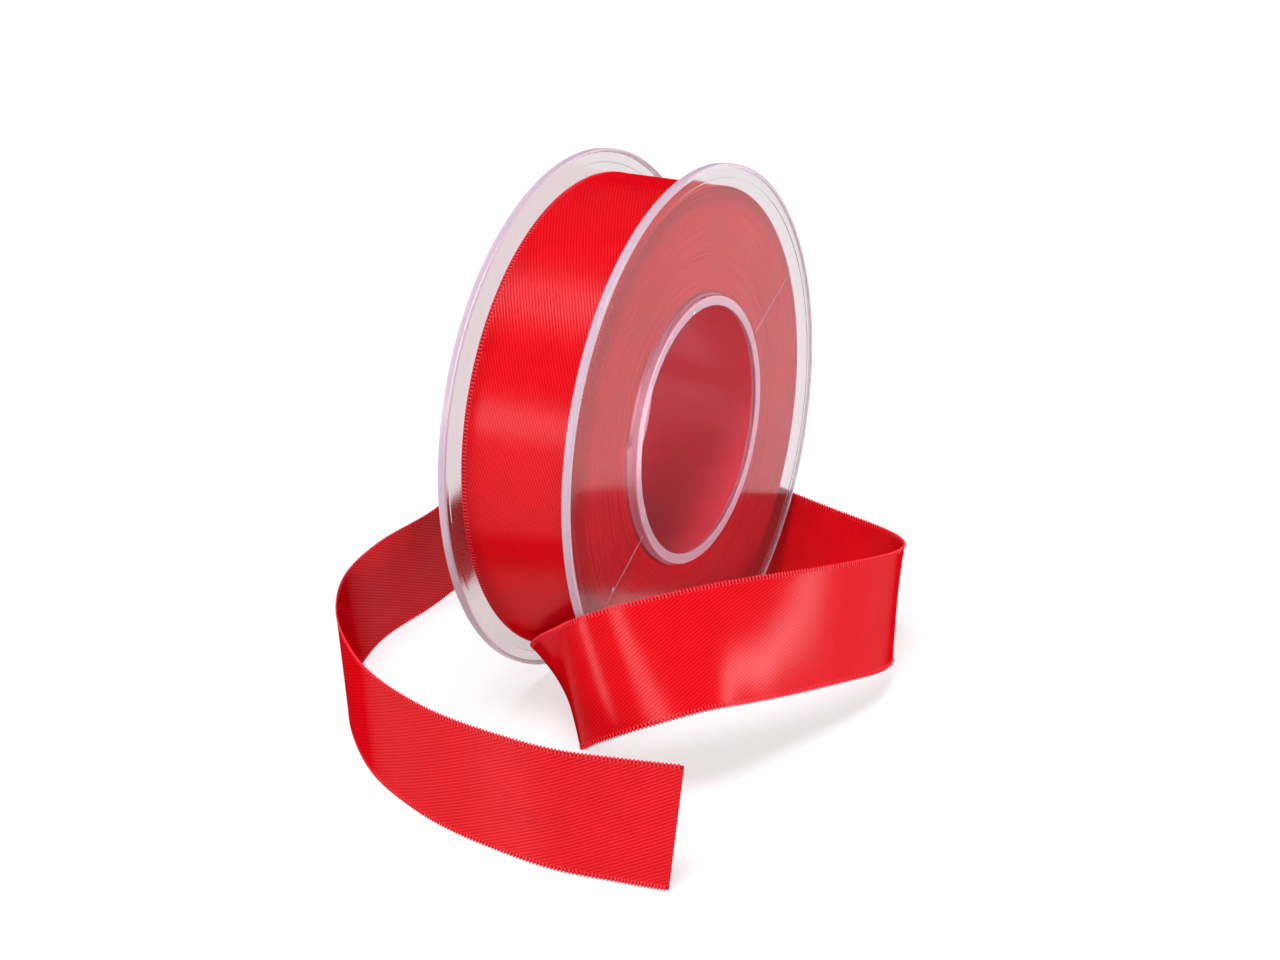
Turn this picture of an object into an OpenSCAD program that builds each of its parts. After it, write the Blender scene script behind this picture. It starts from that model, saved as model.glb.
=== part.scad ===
// Ribbon spool with a part-unrolled satin ribbon.
// Millimetres. The origin is the centre of the hub's bore, +Y is the spool's axis and +Z is up,
// so the spool stands on its two flange rims at z = -flange_d / 2.

/* [Flanges] */
// Diameter of both flanges
flange_d = 110; // [80:1:140]
// Thickness of a flange at its rim
flange_t = 1.7; // [1.2:0.1:2.5]
// Clear space between the two flanges
flange_gap = 25.8; // [12:0.1:45]
// Width of the thicker band round each rim
rim_band = 2.8; // [1.5:0.1:5]
// Depth of the shallow recess inside the rim band
face_recess = 0.3; // [0.1:0.05:0.6]

/* [Hub] */
// Diameter of the bore that a dispenser's spindle goes through
bore_d = 52; // [30:0.5:76]
// Diameter of the hub's ends, where the flanges are pressed on
spigot_d = 56; // [34:0.5:80]
// Diameter of the hub between the flanges
core_d = 57; // [35:0.5:82]
// Height of the step that the ribbon's inner end butts against
step_h = 1.5; // [0.5:0.1:3]
// Direction of the step, seen along the axis
step_angle = 12; // [0:1:360]
// Length of the ramp that runs up to the step, in degrees
ramp_angle = 64; // [30:1:120]

/* [Ribbon] */
// Width of the ribbon
ribbon_w = 24.5; // [10:0.5:40]
// Thickness of the free tail
tail_t = 0.4; // [0.3:0.05:0.6]
// Diameter of the wound ribbon
roll_d = 100.6; // [70:0.2:108]
// Shortfall of the tail's lower corner, from a cut that is not quite square
cut_skew = 2; // [0:0.1:5]

/* [Hidden] */

flange_r = flange_d / 2;
half_gap = flange_gap / 2;
half_len = half_gap + flange_t;
spigot_r = spigot_d / 2;
core_r = core_d / 2;
bore_r = bore_d / 2;
roll_r = roll_d / 2;
edge_round = 0.35;
tape_t = 0.15;
tape_w = 18;
tape_arc = 45;
wind_gap = 0.25;

CLEAR = [0.88, 0.88, 0.9, 0.4];
TAPE = [0.93, 0.92, 0.85];
RED = [0.84, 0.04, 0.07];

// The free tail. Each row is a place on the ribbon's middle line and how far the ribbon leans there:
// -90 lies flat with its outer face down, 0 stands on its edge, + leans in towards the spool.
TAIL = [
    // under the roll, between the flanges
    [-25.5, 0, -44.2, -90],
    [-13.2, 0, -49.3, -90],
    [0, 0, -51, -90],
    // leaves the roll and turns up on to its edge
    [12.5, 0, -51.4, -85],
    [25, 0.6, -49.9, -67],
    [36.5, 2.8, -46, -45],
    [47, 8, -40.2, -18],
    // rises round the front flange's rim and leans in
    [55, 15.5, -33.4, 8],
    [54.5, 25, -28.2, 33],
    [45.5, 34, -26.6, 41],
    [33, 41, -28, 29],
    // comes down on the right
    [20.5, 46.5, -30.3, 18],
    [7.5, 50.5, -33, 13],
    [-5.5, 52.7, -36.2, 10],
    [-17, 52, -39.2, 0],
    [-27, 46.7, -41.7, -15],
    [-35, 36.5, -43.3, -24],
    // passes behind the spool
    [-40, 23.5, -43.6, -24],
    [-45, 9, -43.2, -19],
    [-51, -7, -42.8, -13],
    [-55, -24, -42.6, -7],
    [-54, -42, -42.4, 2],
    [-42, -54.5, -42.4, 2],
    // stands on its edge round the left
    [-22, -55, -42.4, 0],
    [0, -53, -42.4, 4],
    [20, -54, -42.5, 3],
    [38, -49.7, -42.5, -2],
    [54, -40.5, -42.6, -3],
    [67.5, -27.5, -42.6, -2],
    [77.5, -11.5, -42.6, -1],
    // ends in front, cut across
    [83.3, 7, -42.6, 1],
    [85, 26, -42.6, 4],
    [83, 40, -42.6, 7],
    [80.5, 51.5, -42.6, 10]
];
TAIL_STEPS = 6;

// Point at t on the curve that passes through b and c
function curve(a, b, c, d, t) =
    (2 * b + (c - a) * t + (2 * a - 5 * b + 4 * c - d) * t * t + (3 * b - 3 * c + d - a) * t * t * t) / 2;

// Rows of a list with one more row added before and after it
function extended(rows) =
    let (n = len(rows))
    concat([2 * rows[0] - rows[1]], rows, [2 * rows[n - 1] - rows[n - 2]]);

function smoothed(rows, steps) =
    let (e = extended(rows))
    concat(
        [for (i = [1 : len(e) - 3], k = [0 : steps - 1])
            curve(e[i - 1], e[i], e[i + 1], e[i + 2], k / steps)],
        [e[len(e) - 2]]
    );

function unit(v) = v / norm(v);
function place(row) = [row[0], row[1], row[2]];
function heading(rows, i) =
    unit(place(rows[min(i + 1, len(rows) - 1)]) - place(rows[max(i - 1, 0)]));

// Direction across the ribbon, from its lower edge to its upper edge
function across(along, lean) =
    let (side = unit(cross([0, 0, 1], along)), rise = cross(along, side))
    cos(lean) * rise + sin(lean) * side;

// Four corners of the ribbon's section at row i
function section(rows, i) =
    let (
        along = heading(rows, i),
        width = across(along, rows[i][3]),
        skin = cross(along, width) * tail_t / 2,
        last = i == len(rows) - 1,
        low = place(rows[i]) - width * ribbon_w / 2 - (last ? along * cut_skew : [0, 0, 0]),
        high = place(rows[i]) + width * ribbon_w / 2
    )
    [low - skin, low + skin, high + skin, high - skin];

// Wall that joins two neighbouring sections
function wall(i) = [
    for (k = [0 : 3])
        let (a = 4 * i + k, b = 4 * i + (k + 1) % 4)
        each [[a, b, b + 4], [a, b + 4, a + 4]]
];

module along_y() {
    rotate([90, 0, 0])
        children();
}

module flange() {
    color(CLEAR)
        rotate_extrude($fn = 240)
            polygon([
                [spigot_r, 0],
                [flange_r - edge_round, 0],
                [flange_r, edge_round],
                [flange_r, flange_t - edge_round],
                [flange_r - edge_round, flange_t],
                [flange_r - rim_band, flange_t],
                [flange_r - rim_band - face_recess, flange_t - face_recess],
                [spigot_r, flange_t - face_recess]
            ]);
}

module front_flange() {
    translate([0, half_gap, 0])
        rotate([-90, 0, 0])
            flange();
}

module rear_flange() {
    translate([0, -half_gap, 0])
        rotate([90, 0, 0])
            flange();
}

// Arc in the spool's plane whose radius grows evenly from r1 to r2 between angles a1 and a2
function arc(r1, r2, a1, a2, pieces) = [
    for (i = [0 : pieces])
        let (share = i / pieces, a = a1 + (a2 - a1) * share)
        (r1 + (r2 - r1) * share) * [cos(a), sin(a)]
];

// Section of the ramp, swelled by extra round its outside and past its step
module ramp_section(extra) {
    foot = step_angle - ramp_angle;
    step = step_angle + extra;
    inner = core_r - 1;
    polygon(concat(
        arc(core_r + extra, core_r + step_h + extra, foot, step, 16),
        arc(inner, inner, step, foot, 16)
    ));
}

// Stands a flat section up so that its own x and y become the spool's x and z
module in_spool_plane(length) {
    translate([0, length / 2, 0])
        along_y()
            linear_extrude(length)
                children();
}

module hub_tube() {
    color(CLEAR)
        difference() {
            union() {
                in_spool_plane(2 * half_len)
                    circle(spigot_r, $fn = 240);
                in_spool_plane(flange_gap)
                    circle(core_r, $fn = 240);
                in_spool_plane(flange_gap)
                    ramp_section(0);
            }
            in_spool_plane(2 * half_len + 2)
                circle(bore_r, $fn = 240);
        }
}

module tape_section() {
    from = step_angle + 3;
    inner = core_r + 0.02;
    outer = inner + tape_t;
    polygon(concat(
        arc(inner, inner, from, from + tape_arc, 12),
        arc(outer, outer, from + tape_arc, from, 12)
    ));
}

module starter_tape() {
    color(TAPE)
        in_spool_plane(tape_w)
            tape_section();
}

module ribbon_roll() {
    color(RED)
        difference() {
            in_spool_plane(ribbon_w)
                circle(roll_r, $fn = 240);
            in_spool_plane(ribbon_w + 2)
                circle(core_r + wind_gap, $fn = 240);
            in_spool_plane(ribbon_w + 2)
                ramp_section(0.15);
        }
}

module ribbon_tail() {
    rows = smoothed(TAIL, TAIL_STEPS);
    last = len(rows) - 1;
    points = [for (i = [0 : last]) each section(rows, i)];
    start = [[0, 2, 1], [0, 3, 2]];
    finish = [[4 * last, 4 * last + 1, 4 * last + 2], [4 * last, 4 * last + 2, 4 * last + 3]];
    walls = [for (i = [0 : last - 1]) each wall(i)];
    color(RED)
        polyhedron(points, concat(start, walls, finish), convexity = 10);
}

front_flange();
rear_flange();
hub_tube();
starter_tape();
ribbon_roll();
ribbon_tail();
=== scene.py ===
"""Looks of the ribbon spool: satin ribbon, clear plastic and a plain studio."""

import math

import bpy
import numpy as np
from mathutils import Matrix, Vector


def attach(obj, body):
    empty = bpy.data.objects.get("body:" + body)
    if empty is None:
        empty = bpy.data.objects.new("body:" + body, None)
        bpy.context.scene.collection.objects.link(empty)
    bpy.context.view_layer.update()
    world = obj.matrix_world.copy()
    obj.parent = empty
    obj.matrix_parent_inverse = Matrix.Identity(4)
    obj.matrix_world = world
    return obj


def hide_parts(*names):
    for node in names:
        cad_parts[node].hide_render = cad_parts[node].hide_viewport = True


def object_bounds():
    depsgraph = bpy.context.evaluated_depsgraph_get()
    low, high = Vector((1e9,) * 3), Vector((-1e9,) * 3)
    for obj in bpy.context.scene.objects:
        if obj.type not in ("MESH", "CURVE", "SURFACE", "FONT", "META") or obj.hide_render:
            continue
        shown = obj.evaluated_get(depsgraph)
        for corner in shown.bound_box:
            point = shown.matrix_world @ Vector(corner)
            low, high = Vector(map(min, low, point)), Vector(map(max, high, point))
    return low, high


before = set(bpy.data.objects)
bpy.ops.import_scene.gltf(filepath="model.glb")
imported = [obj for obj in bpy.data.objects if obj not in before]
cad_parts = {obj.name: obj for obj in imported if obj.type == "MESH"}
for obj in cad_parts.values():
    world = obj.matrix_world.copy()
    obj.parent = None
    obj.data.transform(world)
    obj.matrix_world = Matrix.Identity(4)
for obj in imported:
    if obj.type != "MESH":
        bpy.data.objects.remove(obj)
cad_low, cad_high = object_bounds()
MM = 0.001

# ---------------------------------------------------------------------------------------------
# Sizes, in mm, as in the CAD source
# ---------------------------------------------------------------------------------------------
RIBBON_W = 24.5
CLOTH_T = 0.2  # of the real cloth: the CAD's tail is thicker
ROLL_R = 50.3
CORE_R = 28.5
STEP_H = 1.5
STEP_ANGLE = 12
RAMP_ANGLE = 64
CUT_SKEW = 2.0
FLANGE_D, FLANGE_T, FLANGE_GAP = 110, 1.7, 25.8
RIM_BAND, FACE_RECESS = 2.8, 0.3
BORE_D, SPIGOT_D = 52, 56

# Middle line of the free tail, (x, y, z) in mm, with the lean of the ribbon from upright in degrees
TAIL = [
    (-25.5, 0, -44.2, -90),
    (-13.2, 0, -49.3, -90),
    (0, 0, -51, -90),
    (12.5, 0, -51.4, -85),
    (25, 0.6, -49.9, -67),
    (36.5, 2.8, -46, -45),
    (47, 8, -40.2, -18),
    (55, 15.5, -33.4, 8),
    (54.5, 25, -28.2, 33),
    (45.5, 34, -26.6, 41),
    (33, 41, -28, 29),
    (20.5, 46.5, -30.3, 18),
    (7.5, 50.5, -33, 13),
    (-5.5, 52.7, -36.2, 10),
    (-17, 52, -39.2, 0),
    (-27, 46.7, -41.7, -15),
    (-35, 36.5, -43.3, -24),
    (-40, 23.5, -43.6, -24),
    (-45, 9, -43.2, -19),
    (-51, -7, -42.8, -13),
    (-55, -24, -42.6, -7),
    (-54, -42, -42.4, 2),
    (-42, -54.5, -42.4, 2),
    (-22, -55, -42.4, 0),
    (0, -53, -42.4, 4),
    (20, -54, -42.5, 3),
    (38, -49.7, -42.5, -2),
    (54, -40.5, -42.6, -3),
    (67.5, -27.5, -42.6, -2),
    (77.5, -11.5, -42.6, -1),
    (83.3, 7, -42.6, 1),
    (85, 26, -42.6, 4),
    (83, 40, -42.6, 7),
    (80.5, 51.5, -42.6, 10),
]

TAIL_ROW = 0.5  # spacing of the tail's rows of points
TAIL_SOFTENING = 2.0  # reach of the averaging that rounds its middle line
END_REACH = 12  # length over which its start settles, and over which its cut end slants
START_DROP = 0.3  # how far its start lies under its middle line, clear of the roll
RIPPLES = (
    # height, length of a wave over 2 pi, phase, middle and spread of the stretch that has them
    (0.05, 2.9, 0.6, 112, 22),
    (0.10, 4.1, 0.0, 455, 45),
)
LONG_RIPPLE = (0.05, 7.3, 1.0)  # the same first three, along the whole tail

# The woven selvedge: a flat band with a bead near its edge, and weft loops that stand out of it
SELVEDGE_W = 0.9
BEAD_AT, BEAD_SPREAD, BEAD_RISE = 0.35, 0.3, 0.2  # from the edge, in mm; the rise is a share
EDGE_ROUND, EDGE_SHARE = 0.1, 0.25  # the cloth thins to this share over the last bit of its width
LOOP_PITCH = 0.75
LOOP_LENGTH = 1.2
LOOP_OUT = 0.28  # how far the loops stand out of the cloth's edge
LAST_LOOP = 0.3  # least distance from the last loop to the cut
LOOP_RADII = (0.29, 0.2)  # along the ribbon, and out of its face
LOOP_SIDES = 6
# place along a loop from -1 to 1, and how full it is there
LOOP_SHAPE = ((-1, 0.25), (-0.75, 0.85), (0.45, 1.0), (0.85, 0.7), (1, 0.2))

# The wound ribbon
TURNS = 98
ROWS_PER_TURN = 150
INNER_GAP, OUTER_GAP = 0.3, 0.24  # to the hub, and to the roll's outside, where the outer turn goes
LIFT_FADE = 14  # turns after which the ramp's lift has fallen to 1/e
TURN_T = 0.17  # thickness of a turn
EDGE_IN = 0.12  # mean distance of a turn's edge from the full width
WANDER = 0.13  # how far the edges wander at random, and then in two slow waves
SLOW_WANDER = ((0.12, 0.55, 0), (0.05, 1.9, 1))  # height, radians a turn, phase
WANDER_LIMIT = 0.3
OUTER_ROWS = 720
OUTER_UNEVEN = ((0.03, 3, 1), (0.02, 7, 0))  # height, waves round the roll, phase

# The twill of the satin, in mm and degrees from the ribbon's length
TWILL_PITCH = 0.62
TWILL_ANGLE = 25
THREAD_PITCH = 0.16

# Plastic, in mm and degrees
FLANGE_ROUND, HUB_ROUND = 0.35, 0.2
FLANGE_SEGMENTS, HUB_SEGMENTS = 360, 720
# the rim band's lines: distance in from the flange's edge, and depth under its outer face
RIM_LINES = ((0.75, 0), (0.95, 0.08), (RIM_BAND, 0.02), (RIM_BAND + 0.15, 0.11))
FIT_OVERLAP = 0.05  # the flanges reach into the hub's ends by this, so that no air gap shows
SHOULDER_GAP = 0.08  # between the hub's shoulders and the flanges
NICKS = ((82, 0.3), (54, 0.18), (38, 0.24))  # in the bore's front edge: place and depth
NICK_SPREAD = 0.012  # in radians
FRONT_FACE = FLANGE_GAP / 2 + FLANGE_T - FACE_RECESS  # of the front flange, inside its rim band
WELD_W = 0.13  # half the width of a weld line at its middle
# across a weld line from -1 to 1, and its height there
WELD_SHAPE = ((-1, -0.01), (-0.5, 0.03), (0, 0.045), (0.5, 0.03), (1, -0.01))
# radius and height of the rings of the gate's scar, from outside in
GATE_SHAPE = ((0.55, -0.02), (0.5, 0.05), (0.35, 0.1), (0.22, 0.02), (0.05, 0.0))


# ---------------------------------------------------------------------------------------------
# Mesh helpers
# ---------------------------------------------------------------------------------------------
def mesh_object(name, points, faces, uv=None):
    """A smooth mesh from points in mm. uv holds (along, across) in mm for every point."""
    mesh = bpy.data.meshes.new(name)
    mesh.from_pydata((np.asarray(points) * MM).tolist(), [], [list(f) for f in faces])
    if uv is not None:
        layer = mesh.uv_layers.new(name="cloth")
        corners = np.zeros(len(mesh.loops), np.int32)
        mesh.loops.foreach_get("vertex_index", corners)
        layer.data.foreach_set("uv", np.asarray(uv, np.float32)[corners].ravel())
    mesh.polygons.foreach_set("use_smooth", [True] * len(mesh.polygons))
    mesh.update()
    if enclosed(mesh) < 0:
        mesh.flip_normals()
    made = bpy.data.objects.new(name, mesh)
    bpy.context.scene.collection.objects.link(made)
    return made


def enclosed(mesh):
    """Volume inside a closed mesh, below zero where its faces look inwards."""
    mesh.calc_loop_triangles()
    corners = np.zeros(len(mesh.loop_triangles) * 3, np.int32)
    mesh.loop_triangles.foreach_get("vertices", corners)
    places = np.zeros(len(mesh.vertices) * 3)
    mesh.vertices.foreach_get("co", places)
    a, b, c = places.reshape(-1, 3)[corners.reshape(-1, 3)].transpose(1, 0, 2)
    return float(np.einsum("ij,ij->", a, np.cross(b, c))) / 6


def tube_faces(rows, ring, close_ends=True):
    """Quads that join rows of ring points each, with a cap on both ends."""
    i = np.arange(rows - 1)[:, None] * ring
    k = np.arange(ring)[None, :]
    n = (k + 1) % ring
    quads = np.stack([i + k, i + n, i + ring + n, i + ring + k], -1).reshape(-1, 4).tolist()
    if close_ends:
        quads.append(list(range(ring))[::-1])
        quads.append([(rows - 1) * ring + j for j in range(ring)])
    return quads


# ---------------------------------------------------------------------------------------------
# Ribbon shapes
# ---------------------------------------------------------------------------------------------
def catmull(rows, steps):
    """Points on the Catmull-Rom curve through rows, ends extended by mirroring."""
    r = np.asarray(rows, float)
    e = np.vstack([2 * r[0] - r[1], r, 2 * r[-1] - r[-2]])
    t = (np.arange(steps) / steps)[:, None]
    out = []
    for a, b, c, d in zip(e[:-3], e[1:-2], e[2:-1], e[3:]):
        out.append((2 * b + (c - a) * t + (2 * a - 5 * b + 4 * c - d) * t**2
                    + (3 * b - 3 * c + d - a) * t**3) / 2)
    return np.vstack(out + [r[-1:]])


def evened(rows, pitch):
    """The same curve with rows at an even spacing along it, and the distance of each."""
    s = np.concatenate([[0], np.cumsum(np.linalg.norm(np.diff(rows[:, :3], axis=0), axis=1))])
    count = int(round(s[-1] / pitch)) + 1
    even = np.linspace(0, s[-1], count)
    return np.stack([np.interp(even, s, rows[:, k]) for k in range(rows.shape[1])], -1), even


def softened(rows, pitch, spread):
    """Rows averaged with their neighbours over spread mm. The two ends stay."""
    reach = int(3 * spread / pitch)
    weights = np.exp(-0.5 * (np.arange(-reach, reach + 1) * pitch / spread) ** 2)
    weights /= weights.sum()
    head = 2 * rows[0] - rows[reach:0:-1]
    foot = 2 * rows[-1] - rows[-2:-reach - 2:-1]
    full = np.vstack([head, rows, foot])
    columns = [np.convolve(full[:, k], weights, "valid") for k in range(rows.shape[1])]
    return np.stack(columns, -1)


def tail_frame():
    """Middle line, heading, width direction and distance along for the free tail."""
    rows, s = evened(catmull(TAIL, steps=24), TAIL_ROW)
    rows = softened(rows, TAIL_ROW, TAIL_SOFTENING)
    place = rows[:, :3]
    along = np.gradient(place, axis=0)
    along /= np.linalg.norm(along, axis=1)[:, None]
    side = np.cross([0, 0, 1], along)
    side /= np.linalg.norm(side, axis=1)[:, None]
    rise = np.cross(along, side)
    lean = np.radians(rows[:, 3])[:, None]
    return place, along, np.cos(lean) * rise + np.sin(lean) * side, s


def across_stops():
    """Places across the ribbon, closer together at the selvedges."""
    half = RIBBON_W / 2 - LOOP_OUT
    edge = np.array([0, 0.1, 0.35, 0.7, 1.1])
    middle = np.linspace(-half + 2.2, half - 2.2, 13)
    return np.concatenate([-half + edge, middle, (half - edge)[::-1]])


def ripple(s):
    """Shallow waves that a ribbon keeps from being wound, in mm out of its face."""
    height, wave_length, phase = LONG_RIPPLE
    total = height * np.sin(s / wave_length + phase)
    for height, wave_length, phase, middle, spread in RIPPLES:
        fade = np.exp(-((s - middle) / spread) ** 2)
        total = total + height * fade * np.sin(s / wave_length + phase)
    return total


def skin_profile(w):
    """Thickness above the middle surface at w: fuller at the selvedge's bead, thin at the edge."""
    inwards = RIBBON_W / 2 - LOOP_OUT - np.abs(w)
    bead = np.exp(-((inwards - BEAD_AT) / BEAD_SPREAD) ** 2)
    rounding = np.clip(np.sqrt(np.clip(inwards / EDGE_ROUND, 0, 1)), EDGE_SHARE, 1)
    return (CLOTH_T / 2) * (1 + BEAD_RISE * bead) * rounding


def cloth_rings(middle, out, w):
    """Points round each row of the cloth: along its outer face and back along its inner one."""
    skin = out[:, None] * skin_profile(w)[None, :, None]
    return np.concatenate([middle + skin, (middle - skin)[:, ::-1]], 1)


def cloth_uv(along, w):
    """(along, across) of the points of cloth_rings."""
    face = np.stack(np.broadcast_arrays(along, w[None, :]), -1)
    return np.concatenate([face, face[:, ::-1]], 1).reshape(-1, 2)


def near_cut(s, end):
    """0 along the tail, rising to 1 at its cut end."""
    return np.clip((s - end + END_REACH) / END_REACH, 0, 1)


def make_tail():
    """The free tail, and its frame: middle line, heading, width and face directions, distance."""
    place, along, width, s = tail_frame()
    out = np.cross(width, along)
    w = across_stops()
    start = np.clip(s / END_REACH, 0, 1)
    place = place + out * (ripple(s) * start - START_DROP * (1 - start))[:, None]
    skew = -CUT_SKEW * ((RIBBON_W / 2 - w) / RIBBON_W)
    cut = skew[None, :] * near_cut(s, s[-1])[:, None]
    middle = place[:, None] + width[:, None] * w[None, :, None] + along[:, None] * cut[:, :, None]
    rings = cloth_rings(middle, out, w)
    faces = tube_faces(len(s), rings.shape[1])
    made = mesh_object("satin_tail", rings.reshape(-1, 3), faces, cloth_uv(s[:, None] + cut, w))
    return made, (place, along, width, out, s)


def loop_beads(name, centres, along, across, out):
    """A row of small weft loops, each a rounded bar that lies across the selvedge."""
    turn = np.radians(np.arange(0, 360, 360 // LOOP_SIDES))
    thick, high = LOOP_RADII
    bar = np.array([[(x * LOOP_LENGTH / 2, full * thick * math.cos(a), full * high * math.sin(a))
                     for a in turn] for x, full in LOOP_SHAPE]).reshape(-1, 3)
    basis = np.stack([across, along, out], 1)
    points = centres[:, None] + np.einsum("pk,nkj->npj", bar, basis)
    faces = tube_faces(len(LOOP_SHAPE), LOOP_SIDES)
    count = len(centres)
    shift = np.arange(count)[:, None, None] * len(bar)
    quads = (np.array(faces[:-2])[None] + shift).reshape(-1, 4).tolist()
    caps = (np.array(faces[-2:])[None] + shift).reshape(-1, LOOP_SIDES).tolist()
    uv = np.zeros((count * len(bar), 2))
    uv[:, 0] = np.repeat(np.arange(count) * LOOP_PITCH, len(bar))
    uv[:, 1] = RIBBON_W / 2
    return mesh_object(name, points.reshape(-1, 3), quads + caps, uv)


def both_edges(name, place, along, width, out, skew=0.0):
    """Weft loops along both selvedges. skew moves those of the lower edge along the ribbon."""
    rows = []
    for side in (-1, 1):
        centres = place + width * side * ((RIBBON_W - LOOP_LENGTH) / 2)
        if side < 0:
            centres = centres + along * skew
        rows.append((centres, along, width * side, out))
    return loop_beads(name, *[np.concatenate(column) for column in zip(*rows)])


def make_tail_loops(place, along, width, out, s):
    """Weft loops along both edges of the tail, from the frame that make_tail() gives."""
    stops = np.arange(LOOP_PITCH / 2, s[-1] - LAST_LOOP, LOOP_PITCH)
    frames = [np.stack([np.interp(stops, s, rows[:, k]) for k in range(3)], -1)
              for rows in (place, along, width, out)]
    skew = -CUT_SKEW * near_cut(stops, s[-1])
    return both_edges("satin_tail_loops", *frames, skew[:, None])


def make_roll():
    """All turns of ribbon but the outer one, wound in one spiral from the hub outwards."""
    rng = np.random.default_rng(7)
    inner, outer = CORE_R + INNER_GAP, ROLL_R - OUTER_GAP
    count = TURNS * ROWS_PER_TURN + 1
    turn = np.arange(count) / ROWS_PER_TURN
    phi = 2 * np.pi * turn
    pitch = (outer - inner) / TURNS
    base = inner + pitch * turn
    # the first turns ride up the ramp and drop at its step, more and more gently
    step = np.radians(STEP_ANGLE)
    back = np.mod(step - phi, 2 * np.pi)
    ramp = np.clip(1 - back / np.radians(RAMP_ANGLE), 0, 1)
    ease = np.exp(-turn / LIFT_FADE)
    drop_angle = 0.02 + 0.16 * np.clip(turn, 0, 8)  # in radians
    drop = np.clip(1 - np.mod(phi - step, 2 * np.pi) / drop_angle, 0, 1)
    lift = STEP_H * np.maximum(ramp, drop * (turn > 0.1)) * ease
    r = base + lift * (1 - (base - inner) / (outer - inner))
    half = RIBBON_W / 2
    knots = rng.normal(0, WANDER, (2, TURNS * 2 + 2))
    wander = [np.interp(turn * 2, np.arange(TURNS * 2 + 2), k) for k in knots]
    slow = sum(height * np.sin(turn * rate + phase) for height, rate, phase in SLOW_WANDER)
    y1 = half - EDGE_IN + np.clip(wander[0] + slow, -WANDER_LIMIT, WANDER_LIMIT)
    y0 = -half + EDGE_IN + np.clip(wander[1] + slow, -WANDER_LIMIT, WANDER_LIMIT)
    radial = np.stack([np.cos(phi), np.zeros(count), np.sin(phi)], -1)
    corners = []
    for dr, y in ((0, y0), (TURN_T, y0), (TURN_T, y1), (0, y1)):
        p = radial * (r + dr)[:, None]
        p[:, 1] = y
        corners.append(p)
    ring = np.stack(corners, 1)
    s = base * phi
    across = np.array([half, half, -half, -half])
    uv = np.stack(np.broadcast_arrays(s[:, None], across[None, :]), -1)
    made = mesh_object("satin_turns", ring.reshape(-1, 3), tube_faces(count, 4), uv.reshape(-1, 2))
    made.data.polygons.foreach_set("use_smooth", [False] * len(made.data.polygons))
    return made


def outer_frame(count):
    """Middle line, heading, width direction, outward direction and distance of the outer turn."""
    phi = np.arange(count) / count * 2 * np.pi
    r = ROLL_R - CLOTH_T * 0.6
    for height, waves, phase in OUTER_UNEVEN:
        r = r + height * np.sin(waves * phi + phase)
    out = np.stack([np.cos(phi), 0 * phi, np.sin(phi)], -1)
    along = np.stack([-np.sin(phi), 0 * phi, np.cos(phi)], -1)
    width = np.tile([0.0, -1.0, 0.0], (count, 1))
    return out * r[:, None], along, width, out, phi * ROLL_R


def make_outer_turn():
    """The turn that shows its face, with a full selvedge. Its last row lies on its first."""
    place, _, width, out, s = outer_frame(OUTER_ROWS)
    w = across_stops()
    middle = place[:, None] + width[:, None] * w[None, :, None]
    rings = cloth_rings(middle, out, w)
    rings = np.concatenate([rings, rings[:1]])
    s = np.append(s, 2 * np.pi * ROLL_R)
    faces = tube_faces(len(s), rings.shape[1], close_ends=False)
    return mesh_object("satin_outer_turn", rings.reshape(-1, 3), faces, cloth_uv(s[:, None], w))


def make_outer_loops():
    """Weft loops along both edges of the outer turn."""
    place, along, width, out, _ = outer_frame(int(2 * np.pi * ROLL_R / LOOP_PITCH))
    return both_edges("satin_outer_loops", place, along, width, out)


# ---------------------------------------------------------------------------------------------
# Plastic shapes
# ---------------------------------------------------------------------------------------------
def rounded(corners, radius, pieces=4):
    """A closed outline whose corners are rounded. Each corner is (r, y, slot), slot being that of
    the surface after it. A rounding between two slots takes the higher one. A point just outside
    each rounding keeps the shading of the flat surfaces flat."""
    flat_from = 1.4
    out = []
    n = len(corners)
    for i, (r, y, slot) in enumerate(corners):
        here = np.array([r, y])
        before, after = np.array(corners[i - 1][:2]), np.array(corners[(i + 1) % n][:2])
        to_before, to_after = np.linalg.norm(before - here), np.linalg.norm(after - here)
        a, b = (before - here) / to_before, (after - here) / to_after
        reach = min(radius, to_before / 3, to_after / 3)
        slot_before = corners[i - 1][2]
        bend = max(slot, slot_before)
        out.append((*(here + a * reach * flat_from), bend))
        for k in range(pieces + 1):
            t = k / pieces
            out.append((*(here + a * reach * (1 - t) ** 2 + b * reach * t**2), bend))
        out.append((*(here + b * reach * flat_from), slot))
    return out


def lathe(name, outline, segments, change=None):
    """A ring turned round the spool's axis from a closed outline of (r, y, slot).
    change(r, y, angle) may return new r and y for a whole row of points."""
    angle = np.arange(segments) / segments * 2 * np.pi
    r = np.tile([q[0] for q in outline], (segments, 1))
    y = np.tile([q[1] for q in outline], (segments, 1))
    if change is not None:
        r, y = change(r, y, angle[:, None])
    points = np.stack([r * np.cos(angle)[:, None], y, r * np.sin(angle)[:, None]], -1)
    n = len(outline)
    i, k = np.meshgrid(np.arange(segments), np.arange(n), indexing="ij")
    j, m = (i + 1) % segments, (k + 1) % n
    quads = np.stack([i * n + k, j * n + k, j * n + m, i * n + m], -1).reshape(-1, 4)
    made = mesh_object(name, points.reshape(-1, 3), quads.tolist())
    made["slots"] = [q[2] for q in outline] * segments
    return made


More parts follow.
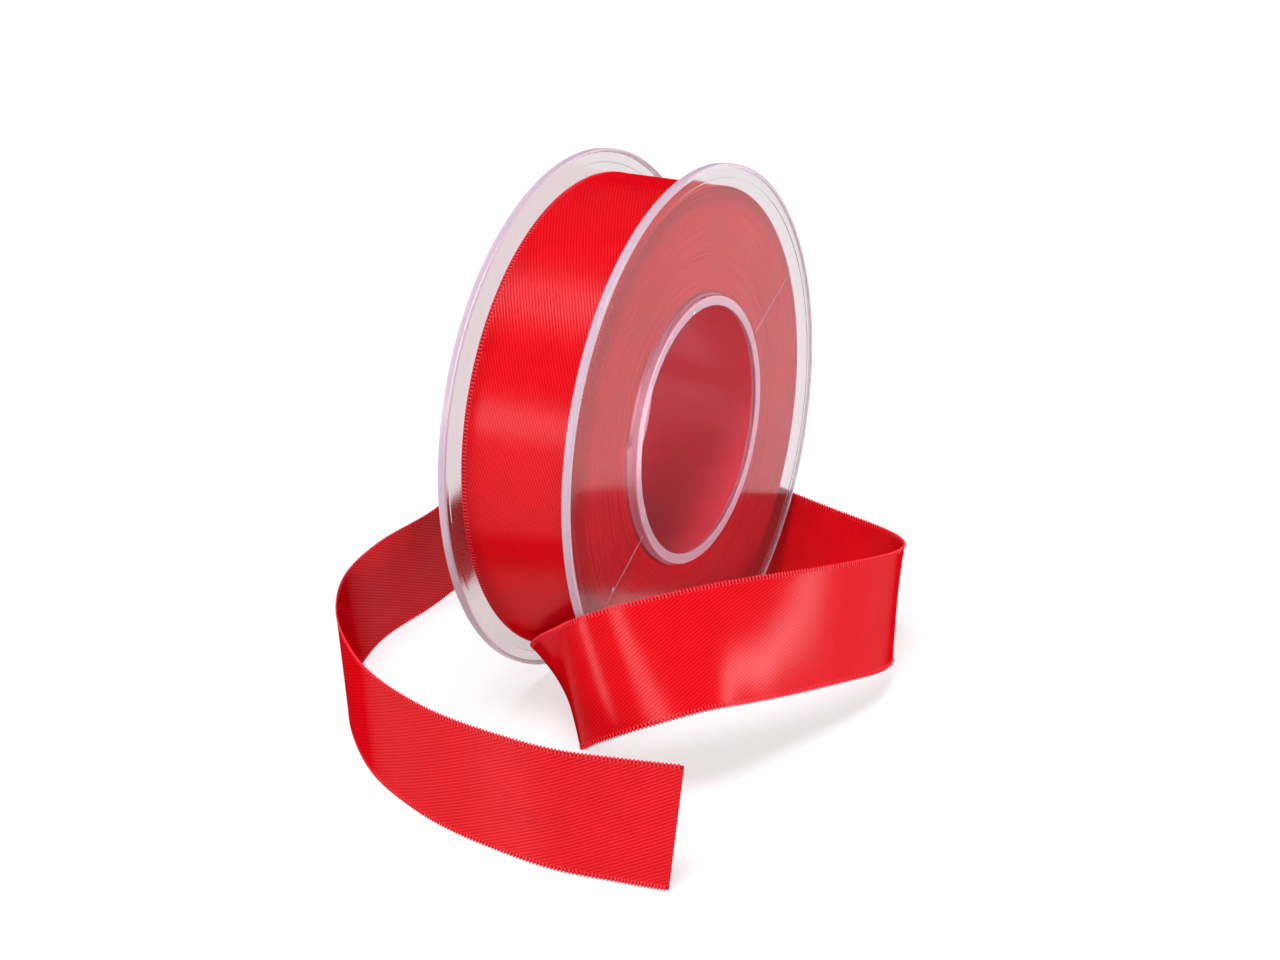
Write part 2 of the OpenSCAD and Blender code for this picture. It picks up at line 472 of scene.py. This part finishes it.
def paint(obj, materials):
    """Gives the object its materials, and its faces the slots that lathe() noted."""
    obj.data.materials.clear()
    for material in materials:
        obj.data.materials.append(material)
    obj.data.polygons.foreach_set("material_index", np.array(list(obj["slots"]), np.int32))
    del obj["slots"]


# Slots: CLEAR is the plain wall, EDGE the rim or the end of the tube, SHOULDER the hub's steps
CLEAR, EDGE, SHOULDER = 0, 1, 2


def make_flange(name, side):
    """A flange with a band round its rim. side is 1 for the front one and -1 for the rear one."""
    outer, inner, t = FLANGE_D / 2, SPIGOT_D / 2 - FIT_OVERLAP, FLANGE_T
    corners = [
        (inner, 0, CLEAR),
        (outer, 0, EDGE),
        (outer, t, EDGE),
        *((outer - inwards, t - depth, CLEAR) for inwards, depth in RIM_LINES),
        (inner, t - FACE_RECESS, CLEAR),
    ]
    outline = [(r, side * (FLANGE_GAP / 2 + y), slot)
               for r, y, slot in rounded(corners, FLANGE_ROUND)]
    return lathe(name, outline, FLANGE_SEGMENTS)


def make_hub():
    """The hub's tube with its ramp, and small nicks in the bore's front edge."""
    shoulder, wide = FLANGE_GAP / 2 - SHOULDER_GAP, FLANGE_GAP / 2 + FLANGE_T
    corners = [
        (BORE_D / 2, -wide, CLEAR),
        (BORE_D / 2, wide, EDGE),
        (SPIGOT_D / 2, wide, SHOULDER),
        (SPIGOT_D / 2, shoulder, SHOULDER),
        (CORE_R, shoulder, CLEAR),
        (CORE_R, -shoulder, SHOULDER),
        (SPIGOT_D / 2, -shoulder, SHOULDER),
        (SPIGOT_D / 2, -wide, EDGE),
    ]

    def change(r, y, angle):
        back = np.mod(np.radians(STEP_ANGLE) - angle, 2 * np.pi)
        ramp = np.clip(1 - back / np.radians(RAMP_ANGLE), 0, 1)
        on_core = r > SPIGOT_D / 2 + 0.25
        r = r + np.where(on_core, STEP_H * ramp, 0)
        on_bore_edge = (r < BORE_D / 2 + 0.2) & (y > wide - 0.5)
        for place, depth in NICKS:
            dent = depth * np.exp(-((angle - np.radians(place)) / NICK_SPREAD) ** 2)
            r = r + np.where(on_bore_edge, dent, 0)
        return r, y

    return lathe("hub", rounded(corners, HUB_ROUND), HUB_SEGMENTS, change)


def make_weld_line(name, angle, start, end):
    """A hair-fine raised line on the front flange's face, where the moulded plastic met. It runs
    outwards at an angle, between two radii."""
    along = np.linspace(0, 1, 25)
    r = start + (end - start) * along
    wide = WELD_W * np.sin(np.pi * np.clip(along, 0.02, 0.98)) ** 0.5
    a = math.radians(angle)
    out, cross = np.array([math.cos(a), 0, math.sin(a)]), np.array([-math.sin(a), 0, math.cos(a)])
    up = np.array([0.0, 1.0, 0.0])
    base = out * r[:, None] + up * FRONT_FACE
    rings = np.stack([base + cross * wide[:, None] * x + up * h for x, h in WELD_SHAPE], 1)
    return mesh_object(name, rings.reshape(-1, 3), tube_faces(len(r), len(WELD_SHAPE)))


def make_gate_mark(angle, radius):
    """The small round scar of the mould's gate on the front flange."""
    a = math.radians(angle)
    centre = np.array([radius * math.cos(a), FRONT_FACE, radius * math.sin(a)])
    turn = np.linspace(0, 2 * np.pi, 24, endpoint=False)
    rings = [[centre + [r * math.cos(t), h, r * math.sin(t)] for t in turn] for r, h in GATE_SHAPE]
    faces = tube_faces(len(GATE_SHAPE), len(turn))
    return mesh_object("gate_mark", np.array(rings).reshape(-1, 3), faces)


# ---------------------------------------------------------------------------------------------
# Materials
# ---------------------------------------------------------------------------------------------
# painted shade: the deep red that the selvedge is mixed towards, standing in for shade in the gaps
# between its loops
SELVEDGE_GAP_SHADE = (0.16, 0.0, 0.001, 1)
# painted red light: the plastic's tint over the roll is pinker than outside it
RIM_TINT_REACH = (-5, 0.5)  # from the roll's outside, in mm: where the tint starts and is full


class Nodes:
    """Short calls for building a node tree."""

    def __init__(self, name):
        self.material = bpy.data.materials.new(name)
        self.material.use_nodes = True
        self.tree = self.material.node_tree
        self.tree.nodes.clear()
        self.out = self.add("ShaderNodeOutputMaterial")
        self.bsdf = self.add("ShaderNodeBsdfPrincipled")
        self.link(self.bsdf.outputs[0], self.out.inputs["Surface"])

    def add(self, kind, **values):
        node = self.tree.nodes.new(kind)
        for key, value in values.items():
            setattr(node, key, value)
        return node

    def link(self, a, b):
        self.tree.links.new(a, b)

    def put(self, socket, value):
        """Links another node's output to the socket, or sets its plain value."""
        if isinstance(value, bpy.types.NodeSocket):
            self.link(value, socket)
        else:
            socket.default_value = value

    def math(self, operation, a, b=0.0, c=0.0):
        node = self.add("ShaderNodeMath", operation=operation)
        for socket, value in zip(node.inputs, (a, b, c)):
            self.put(socket, value)
        return node.outputs[0]

    def mix(self, share, a, b):
        node = self.add("ShaderNodeMix", data_type="RGBA")
        self.put(node.inputs["Factor"], share)
        self.put(node.inputs["A"], a)
        self.put(node.inputs["B"], b)
        return node.outputs["Result"]

    def noise(self, vector, scale, detail=2.0, rough=0.5):
        """Seamless noise with about scale spots in a unit of vector."""
        node = self.add("ShaderNodeTexNoise")
        self.put(node.inputs["Vector"], vector)
        node.inputs["Scale"].default_value = scale
        node.inputs["Detail"].default_value = detail
        node.inputs["Roughness"].default_value = rough
        return node.outputs["Fac"]

    def ramp(self, value, low, high):
        """0 up to low, 1 from high, and smooth between."""
        node = self.add("ShaderNodeMapRange", interpolation_type="SMOOTHSTEP")
        self.put(node.inputs["Value"], value)
        node.inputs["From Min"].default_value = low
        node.inputs["From Max"].default_value = high
        return node.outputs["Result"]

    def distance_from_axis(self, place):
        """Distance of a place in metres from the spool's axis."""
        flat = self.add("ShaderNodeVectorMath", operation="MULTIPLY")
        self.link(place, flat.inputs[0])
        flat.inputs[1].default_value = (1, 0, 1)
        length = self.add("ShaderNodeVectorMath", operation="LENGTH")
        self.link(flat.outputs[0], length.inputs[0])
        return length.outputs["Value"]

    def bump(self, height, distance, strength=1.0, normal=None):
        node = self.add("ShaderNodeBump")
        node.inputs["Strength"].default_value = strength
        node.inputs["Distance"].default_value = distance
        self.put(node.inputs["Height"], height)
        if normal is not None:
            self.link(normal, node.inputs["Normal"])
        return node.outputs["Normal"]

    def set(self, **values):
        """Puts values on the Principled shader, with _ for a space in a socket's name."""
        for key, value in values.items():
            self.put(self.bsdf.inputs[key.replace("_", " ")], value)


def wave(n, coordinate, pitch):
    """0 to 1 and back over every pitch of coordinate."""
    turn = n.math("MULTIPLY", coordinate, 2 * math.pi / pitch)
    return n.math("MULTIPLY_ADD", n.math("SINE", turn), 0.5, 0.5)


def satin(name, deep, bright, gap_shade=0.6):
    """Satin with a fine twill and ribbed selvedges, in mm, as its UVs are. deep and bright are the
    colours of its low and high threads, and gap_shade is how far the selvedge is darkened with
    painted shade, the shade that falls in the gaps between its loops."""
    n = Nodes(name)
    uv = n.add("ShaderNodeUVMap", uv_map="cloth")
    split = n.add("ShaderNodeSeparateXYZ")
    n.link(uv.outputs[0], split.inputs[0])
    along, across = split.outputs[0], split.outputs[1]
    # twill lines that run askew, a little unevenly, over fine threads along the ribbon
    a = math.radians(TWILL_ANGLE)
    slant = n.math("SUBTRACT", n.math("MULTIPLY", across, math.cos(a)),
                   n.math("MULTIPLY", along, math.sin(a)))
    grain = n.noise(uv.outputs[0], 0.9, 3.0)
    slant = n.math("MULTIPLY_ADD", grain, 0.3, slant)
    twill = wave(n, slant, TWILL_PITCH)
    threads = wave(n, across, THREAD_PITCH)
    body = n.math("MULTIPLY_ADD", threads, 0.25, twill)
    # ribs across the ribbon in place of them on the selvedge
    ribs = wave(n, along, LOOP_PITCH)
    inside = RIBBON_W / 2 - SELVEDGE_W
    edge = n.ramp(n.math("ABSOLUTE", across), inside - 0.15, inside + 0.1)
    weave = n.add("ShaderNodeMix", data_type="FLOAT")
    n.link(edge, weave.inputs["Factor"])
    n.link(body, weave.inputs["A"])
    n.link(ribs, weave.inputs["B"])
    height = weave.outputs[0]
    # uneven threads, which show in tone and gloss
    slub = n.noise(uv.outputs[0], 0.16, 2.0)
    tone = n.math("MULTIPLY_ADD", height, 0.42, n.math("MULTIPLY_ADD", slub, 0.4, 0.02))
    # painted shade: the selvedge is darkened towards a deep red, for the shade in the gaps between
    # its loops
    painted_gap_shade = n.math("MULTIPLY", edge, gap_shade)
    n.set(Base_Color=n.mix(painted_gap_shade, n.mix(tone, deep, bright), SELVEDGE_GAP_SHADE))
    rough = n.math("MULTIPLY_ADD", slub, 0.08, 0.27)
    n.set(Roughness=n.math("MULTIPLY_ADD", edge, 0.08, rough))
    # the threads shine most where they are seen head on, which keeps grazing faces deep
    slope = n.add("ShaderNodeLayerWeight")
    slope.inputs["Blend"].default_value = 0.5
    head_on = n.math("SUBTRACT", 1.0, slope.outputs["Facing"])
    shine = n.math("MULTIPLY_ADD", twill, 0.42, 0.26)
    n.set(IOR=1.3, Specular_IOR_Level=n.math("MULTIPLY", n.ramp(head_on, 0.25, 0.95), shine))
    n.set(Anisotropic=0.9, Anisotropic_Rotation=0.25)
    tangent = n.add("ShaderNodeTangent", direction_type="UV_MAP", uv_map="cloth")
    n.link(tangent.outputs[0], n.bsdf.inputs["Tangent"])
    n.set(Normal=n.bump(height, 0.000018, 0.9))
    return n.material


def plastic(name, tint, clear, rough, ior, haze=0.1, scratched=1.0, rim_tint=None):
    """Moulded plastic. clear is the share of light that goes through it, haze how much its
    roughness varies, and rim_tint the tint outside the roll, where that differs; over the roll,
    tint is then pinker, with painted red light from the ribbon."""
    n = Nodes(name)
    place = n.add("ShaderNodeTexCoord").outputs["Object"]
    flow = n.noise(place, 60, 3.0, 0.55)
    fine = n.noise(place, 900, 2.0, 0.6)
    # scratches: noise stretched far along one direction
    stretch = n.add("ShaderNodeMapping")
    stretch.inputs["Scale"].default_value = (260, 4000, 40)
    stretch.inputs["Rotation"].default_value = (0, math.radians(35), 0)
    n.link(place, stretch.inputs["Vector"])
    scratch = n.ramp(n.noise(stretch.outputs[0], 1.0, 2.0), 0.62, 0.72)
    dull = [c * 0.94 for c in tint[:3]] + [1]
    colour = n.mix(flow, tint, dull)
    # painted red light: inside the roll's outline the pink tint stays, and outside it the colour
    # turns to rim_tint
    if rim_tint is not None:
        radius = n.distance_from_axis(place)
        start, full = (ROLL_R + away for away in RIM_TINT_REACH)
        colour = n.mix(n.ramp(radius, start * MM, full * MM), colour, rim_tint)
    n.set(Base_Color=colour)
    n.set(Transmission_Weight=clear, IOR=ior)
    scratch = n.math("MULTIPLY", scratch, scratched)
    rough = n.math("MULTIPLY_ADD", scratch, 0.08, rough)
    n.set(Roughness=n.math("MULTIPLY_ADD", flow, haze, rough))
    normal = n.bump(flow, 0.0004, 0.2)
    n.set(Normal=n.bump(n.math("ADD", scratch, fine), 0.000006, 0.25, normal))
    return n.material


def paper_tape(name):
    """Matt paper with short fibres."""
    n = Nodes(name)
    place = n.add("ShaderNodeTexCoord").outputs["Object"]
    fibre = n.noise(place, 1500, 4.0, 0.6)
    n.set(Base_Color=n.mix(fibre, (0.72, 0.68, 0.55, 1), (0.88, 0.85, 0.74, 1)), Roughness=0.75)
    n.set(Normal=n.bump(fibre, 0.00005, 0.5))
    return n.material


def dress(obj, material):
    """Gives the object one material."""
    obj.data.materials.clear()
    obj.data.materials.append(material)


# ---------------------------------------------------------------------------------------------
# Studio
# ---------------------------------------------------------------------------------------------
LENS, SENSOR_W = 69.4083, 36.0  # in mm, as Blender's camera has them
VIEW_AZ, VIEW_EL, VIEW_ROLL = 118.63, 22.31, -0.8
VIEW_DISTANCE = 515.8
VIEW_SHIFT = (-0.18, 12.74)  # of the frame's origin, right and up in the picture, in mm


def make_camera():
    """The camera at the photo's view, from azimuth, elevation, roll and distance."""
    data = bpy.data.cameras.new("camera")
    data.sensor_fit = "HORIZONTAL"
    data.sensor_width = SENSOR_W
    data.lens = LENS
    data.clip_start, data.clip_end = 0.01, 20
    camera = bpy.data.objects.new("camera", data)
    bpy.context.scene.collection.objects.link(camera)
    az, el, roll = (math.radians(a) for a in (VIEW_AZ, VIEW_EL, VIEW_ROLL))
    back = Vector((math.sin(az) * math.cos(el), -math.cos(az) * math.cos(el), math.sin(el)))
    flat_right = Vector((0, 0, 1)).cross(back).normalized()
    flat_up = back.cross(flat_right)
    right = flat_right * math.cos(roll) + flat_up * math.sin(roll)
    up = flat_up * math.cos(roll) - flat_right * math.sin(roll)
    spot = (back * VIEW_DISTANCE - right * VIEW_SHIFT[0] - up * VIEW_SHIFT[1]) * MM
    camera.matrix_world = Matrix((
        (right.x, up.x, back.x, spot.x),
        (right.y, up.y, back.y, spot.y),
        (right.z, up.z, back.z, spot.z),
        (0, 0, 0, 1),
    ))
    bpy.context.scene.camera = camera


SOFTBOXES = (
    # direction towards the light, half its width in degrees, how soft its edge is, brightness
    ((0.35, 0.05, 0.94), 11, 5, 25),
    ((0.68, 0.66, 0.33), 12, 5, 2.6),
    ((-0.43, 0.86, 0.20), 5, 2, 54),
    ((0.76, -0.63, 0.15), 6, 3, 21),
)
ROOM_LIGHT = 0.26
ROOM_TINT = (1, 0.95, 1.02, 1)
FLOOR_HALF, FLOOR_DROP = 3.0, 0.0001  # half the floor's side, and its gap to the object, in metres
FLOOR_GREY, FLOOR_GLOW = (0.30, 0.30, 0.30, 1), 0.67


def make_world():
    """A pale room with soft lights. They are painted on the world, because a lamp's light stops at
    clear plastic and the world's goes through."""
    world = bpy.data.worlds.new("studio")
    world.use_nodes = True
    tree = world.node_tree
    where = tree.nodes.new("ShaderNodeTexCoord").outputs["Generated"]
    total = None
    for towards, half, soft, brightness in SOFTBOXES:
        dot = tree.nodes.new("ShaderNodeVectorMath")
        dot.operation = "DOT_PRODUCT"
        tree.links.new(where, dot.inputs[0])
        dot.inputs[1].default_value = Vector(towards).normalized()
        glow = tree.nodes.new("ShaderNodeMapRange")
        glow.interpolation_type = "SMOOTHSTEP"
        tree.links.new(dot.outputs["Value"], glow.inputs["Value"])
        glow.inputs["From Min"].default_value = math.cos(math.radians(half + soft))
        glow.inputs["From Max"].default_value = math.cos(math.radians(half - soft))
        glow.inputs["To Max"].default_value = brightness
        add = tree.nodes.new("ShaderNodeMath")
        add.operation = "ADD"
        add.inputs[0].default_value = ROOM_LIGHT
        if total is not None:
            tree.links.new(total, add.inputs[0])
        tree.links.new(glow.outputs["Result"], add.inputs[1])
        total = add.outputs[0]
    tree.nodes["Background"].inputs["Color"].default_value = ROOM_TINT
    tree.links.new(total, tree.nodes["Background"].inputs["Strength"])
    bpy.context.scene.world = world


def make_studio():
    """The world's light, and a plain floor whose glow keeps it white under soft shadows."""
    make_world()
    bpy.context.scene.view_settings.view_transform = "Standard"
    mesh = bpy.data.meshes.new("floor")
    z, r = cad_low.z - FLOOR_DROP, FLOOR_HALF
    mesh.from_pydata([(-r, -r, z), (r, -r, z), (r, r, z), (-r, r, z)], [], [(0, 1, 2, 3)])
    floor = bpy.data.objects.new("floor", mesh)
    bpy.context.scene.collection.objects.link(floor)
    n = Nodes("pale_floor")
    n.set(Base_Color=FLOOR_GREY, Roughness=0.9)
    n.set(Emission_Color=(1, 1, 1, 1), Emission_Strength=FLOOR_GLOW)
    dress(floor, n.material)


# ---------------------------------------------------------------------------------------------
# Build
# ---------------------------------------------------------------------------------------------
make_camera()
make_studio()

red_satin = satin("red_satin", (0.42, 0.001, 0.003, 1), (0.70, 0.004, 0.010, 1))
# painted highlight: the loops' satin is a lighter, pinker copy of the ribbon's, so that the loops
# show as lit beads
loop_satin_painted_highlight = satin("loop_satin_painted_highlight", (0.66, 0.010, 0.020, 1), (0.92, 0.040, 0.060, 1), gap_shade=0.0)
# painted light: the roll's sides get a brighter red than the ribbon's own, standing in for light
# that the clear flange keeps off them
turned_satin_painted_light = satin("turned_satin_painted_light", (0.84, 0.004, 0.012, 1), (0.98, 0.010, 0.028, 1), gap_shade=0.0)
# painted red light: the clear plastic's pink tint over the roll stands in for red light from the
# ribbon; rim_tint is its grey tint outside the roll
clear = plastic("clear_plastic", (0.96, 0.69, 0.75, 1), clear=0.985, rough=0.07, ior=1.27,
                haze=0.08, rim_tint=(0.71, 0.67, 0.665, 1))
# partly painted reflection: the rims' lilac is the plastic's edge colour with painted red light
# from the ribbon in it
edge = plastic("plastic_edge", (0.80, 0.67, 0.76, 1), clear=0.45, rough=0.16, ior=1.35)
mould_mark = plastic("mould_mark", (0.90, 0.76, 0.82, 1), clear=0.15, rough=0.25, ior=1.35)
# painted red light: the hub's plastic is clear, and the pink of its walls and shoulders stands in
# for red light from the ribbon wound round it
hub_wall = plastic("hub_wall", (1.0, 0.58, 0.68, 1), clear=0.93, rough=0.12, ior=1.25,
                   scratched=0.0)
hub_shoulder = plastic("hub_shoulder", (1.0, 0.56, 0.64, 1), clear=0.35, rough=0.2, ior=1.3,
                       scratched=0.0)
# partly painted reflection: the lilac-pink of the hub's ends is the plastic's edge colour with
# painted red light from the ribbon in it
hub_end = plastic("hub_end", (0.90, 0.62, 0.71, 1), clear=0.5, rough=0.18, ior=1.35)

front = make_flange("front_disc", 1)
rear = make_flange("rear_disc", -1)
hub = make_hub()
marks = [
    make_weld_line("weld_line_front", -29, 28.8, 47),
    make_weld_line("weld_line_back", 153, 28.8, 48.7),
    make_gate_mark(-28.4, 43.2),
]
paint(front, (clear, edge))
paint(rear, (clear, edge))
paint(hub, (hub_wall, hub_end, hub_shoulder))
for piece in marks:
    dress(piece, mould_mark)
for piece in (front, rear, hub, *marks):
    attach(piece, "spool")
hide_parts("front_flange")
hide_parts("rear_flange")
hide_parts("hub_tube")
dress(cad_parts["starter_tape"], paper_tape("paper_tape"))

tail, tail_line = make_tail()
loops = make_tail_loops(*tail_line)
turns = make_roll()
outer = make_outer_turn()
outer_loops = make_outer_loops()
for piece, material, body in (
    (tail, red_satin, "free_ribbon"),
    (loops, loop_satin_painted_highlight, "free_ribbon"),
    (turns, turned_satin_painted_light, "spool"),
    (outer, red_satin, "spool"),
    (outer_loops, loop_satin_painted_highlight, "spool"),
):
    dress(piece, material)
    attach(piece, body)
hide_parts("ribbon_tail")
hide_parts("ribbon_roll")
